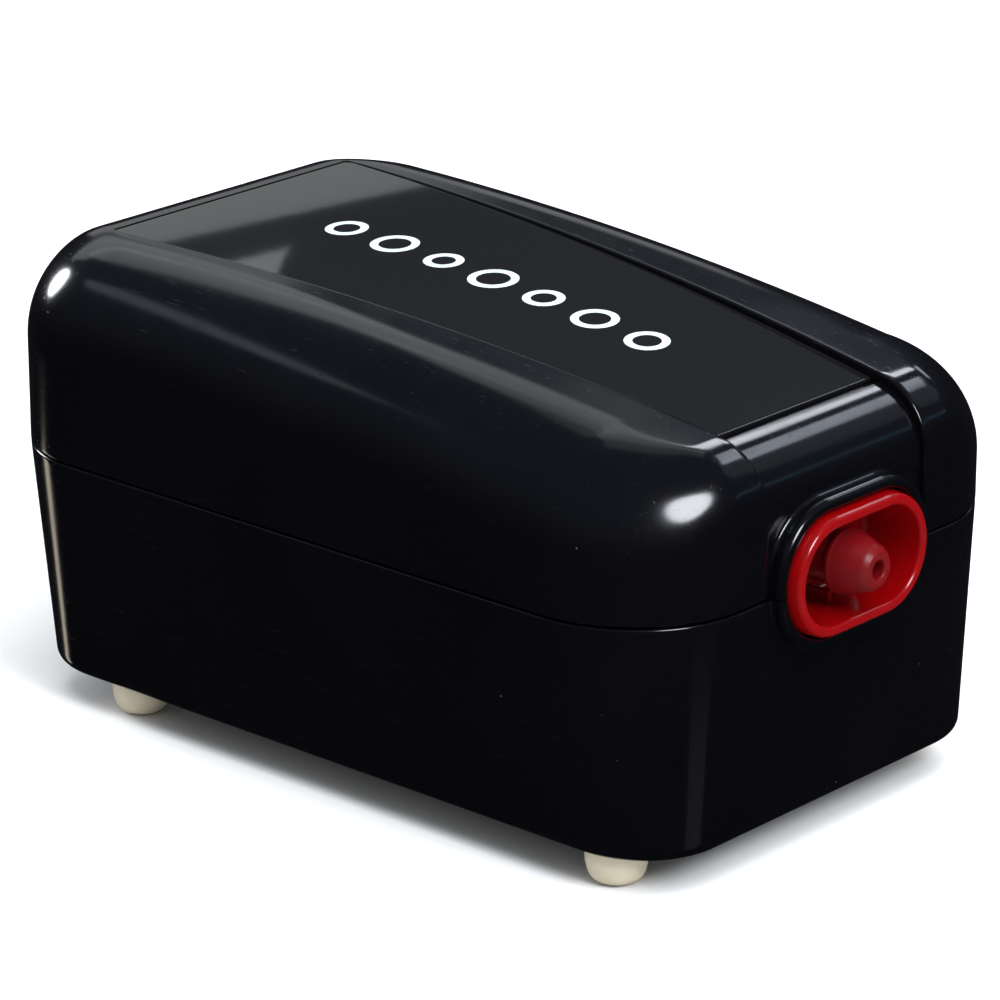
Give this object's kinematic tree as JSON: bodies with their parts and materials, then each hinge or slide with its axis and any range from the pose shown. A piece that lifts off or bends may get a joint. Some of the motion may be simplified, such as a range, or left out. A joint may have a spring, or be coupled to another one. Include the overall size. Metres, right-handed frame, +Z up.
{
  "type": "aquarium air pump",
  "caption": "Small vibrating-diaphragm air pump in a two-part rounded box case on rubber feet, with a recessed air nozzle in one end.",
  "frame": {"origin": "on the floor under the middle of the pump's bounding box", "axes": "-Y out of the air nozzle, +Y towards the cord inlet, +Z up through the lid, X across the case"},
  "size_m": [0.07, 0.1124, 0.0587],
  "materials": {
    "case_black": "glossy moulded ABS",
    "label_black": "gloss-faced plate",
    "outlet_red": "glossy moulded plastic",
    "nozzle_red": "satin translucent soft PVC",
    "foot_rubber": "satin translucent rubber",
    "black_rubber": "matte rubber",
    "zinc_steel": "zinc-plated",
    "core_steel": "stacked laminations, lightly oiled",
    "copper_wire": "enamelled wire",
    "coil_tape": "polyester tape",
    "bobbin_nylon": "moulded nylon",
    "pin_brass": "tinned brass",
    "head_plastic": "moulded ABS",
    "magnet_ferrite": "sintered ferrite",
    "filter_felt": "pressed felt",
    "hose_vinyl": "clear soft PVC"
  },
  "bodies": {
    "root": {"upper_shell": "case_black", "lower_shell": "case_black", "label_plate": "label_black", "outlet_cup": "outlet_red", "outlet_nozzle": "nozzle_red", "cord_gland": "black_rubber", "case_screws": "zinc_steel", "chassis_screws": "zinc_steel", "filter_cover": "case_black", "filter_pad": "filter_felt", "core_stack": "core_steel", "coil_bobbin": "bobbin_nylon", "coil_winding": "copper_wire", "winding_tape": "coil_tape", "coil_pins": "pin_brass", "core_bracket": "zinc_steel", "damping_pad": "black_rubber", "pivot_bracket": "zinc_steel", "pivot_pin": "zinc_steel", "diaphragm": "black_rubber", "clamp_ring": "head_plastic", "valve_body": "head_plastic", "valve_gasket": "black_rubber", "valve_cover": "head_plastic", "head_screws": "zinc_steel", "air_hose": "hose_vinyl", "foot_front_left": "foot_rubber", "foot_front_right": "foot_rubber", "foot_back_left": "foot_rubber", "foot_back_right": "foot_rubber"},
    "armature": {"armature_arm": "zinc_steel", "magnet_cup": "zinc_steel", "armature_magnet": "magnet_ferrite", "pivot_bush": "bobbin_nylon", "diaphragm_washers": "zinc_steel", "diaphragm_screw": "zinc_steel"},
    "inlet_valve": {"inlet_flap": "black_rubber"},
    "outlet_valve": {"outlet_flap": "black_rubber"}
  },
  "joints": [
    {"name": "armature_swing", "type": "hinge", "parent": "root", "child": "armature", "pos_m": [-0.013, -0.026, 0.0262], "axis": [0, 0, 1], "range_deg": [-1.8, 1.8], "stiffness_Nm_per_rad": 0.8, "deforming": ["diaphragm"]},
    {"name": "inlet_flap_lift", "type": "hinge", "parent": "root", "child": "inlet_valve", "pos_m": [-0.0035, -0.008, 0.0237], "axis": [0, 1, 0], "range_deg": [0, 12], "stiffness_Nm_per_rad": 0.00002},
    {"name": "outlet_flap_lift", "type": "hinge", "parent": "root", "child": "outlet_valve", "pos_m": [-0.0015, -0.008, 0.0362], "axis": [0, -1, 0], "range_deg": [0, 12], "stiffness_Nm_per_rad": 0.00002}
  ]
}
